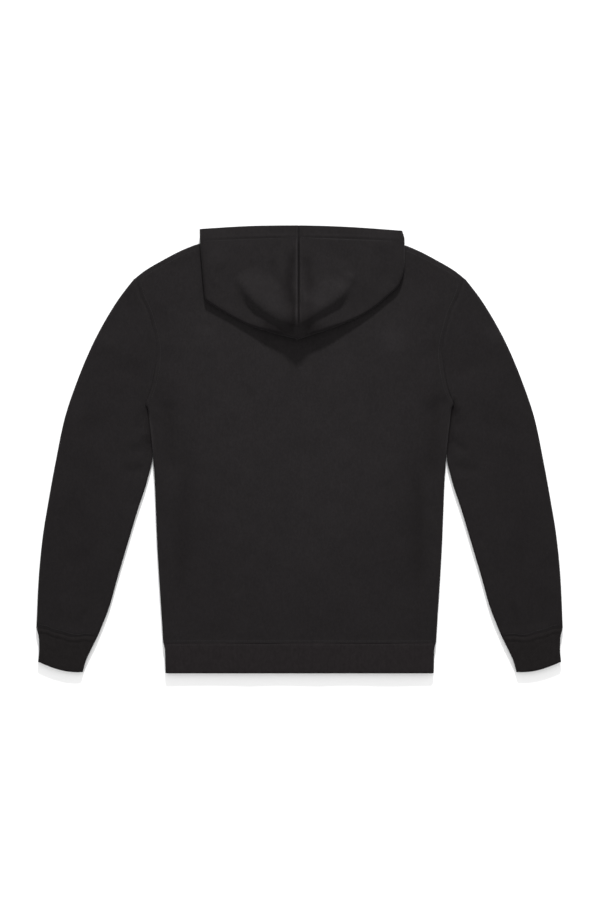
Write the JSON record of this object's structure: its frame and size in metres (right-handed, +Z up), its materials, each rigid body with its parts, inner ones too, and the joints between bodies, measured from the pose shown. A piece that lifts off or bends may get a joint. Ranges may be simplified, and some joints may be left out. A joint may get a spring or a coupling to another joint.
{
  "type": "zip-up hoodie",
  "caption": "Zip-up hoodie of brushed fleece laid flat and face down, with its hood turned down on the back, rib cuffs and hem, and a zip with a hinged pull tab.",
  "frame": {"origin": "under the middle of the garment's box, on the surface that it lies on", "axes": "+X across the garment to the picture's right, +Y from hem to hood, +Z up from the surface, toward the camera"},
  "size_m": [0.875, 0.745, 0.037],
  "materials": {
    "black fleece": "cotton-rich fleece, jersey face with a soft nap",
    "black rib": "rib knit, folded double",
    "black tape": "woven zip tape",
    "black resin": "moulded zip teeth",
    "black metal": "painted zinc zip slider"
  },
  "bodies": {
    "garment": {"back_panel": "black fleece", "front_left": "black fleece", "front_right": "black fleece", "sleeve_left": "black fleece", "sleeve_right": "black fleece", "cuff_left": "black rib", "cuff_right": "black rib", "hem_rib": "black rib", "hood_left": "black fleece", "hood_right": "black fleece", "zip_tape_left": "black tape", "zip_tape_right": "black tape", "zip_chain": "black resin", "zip_slider": "black metal"},
    "pull_tab": {"pull_tab": "black metal"}
  },
  "joints": [
    {"name": "pull_tab_hinge", "type": "hinge", "parent": "garment", "child": "pull_tab", "pos_m": [0, 0.2695, 0.0016], "axis": [1, 0, 0], "range_deg": [0, 175]}
  ]
}
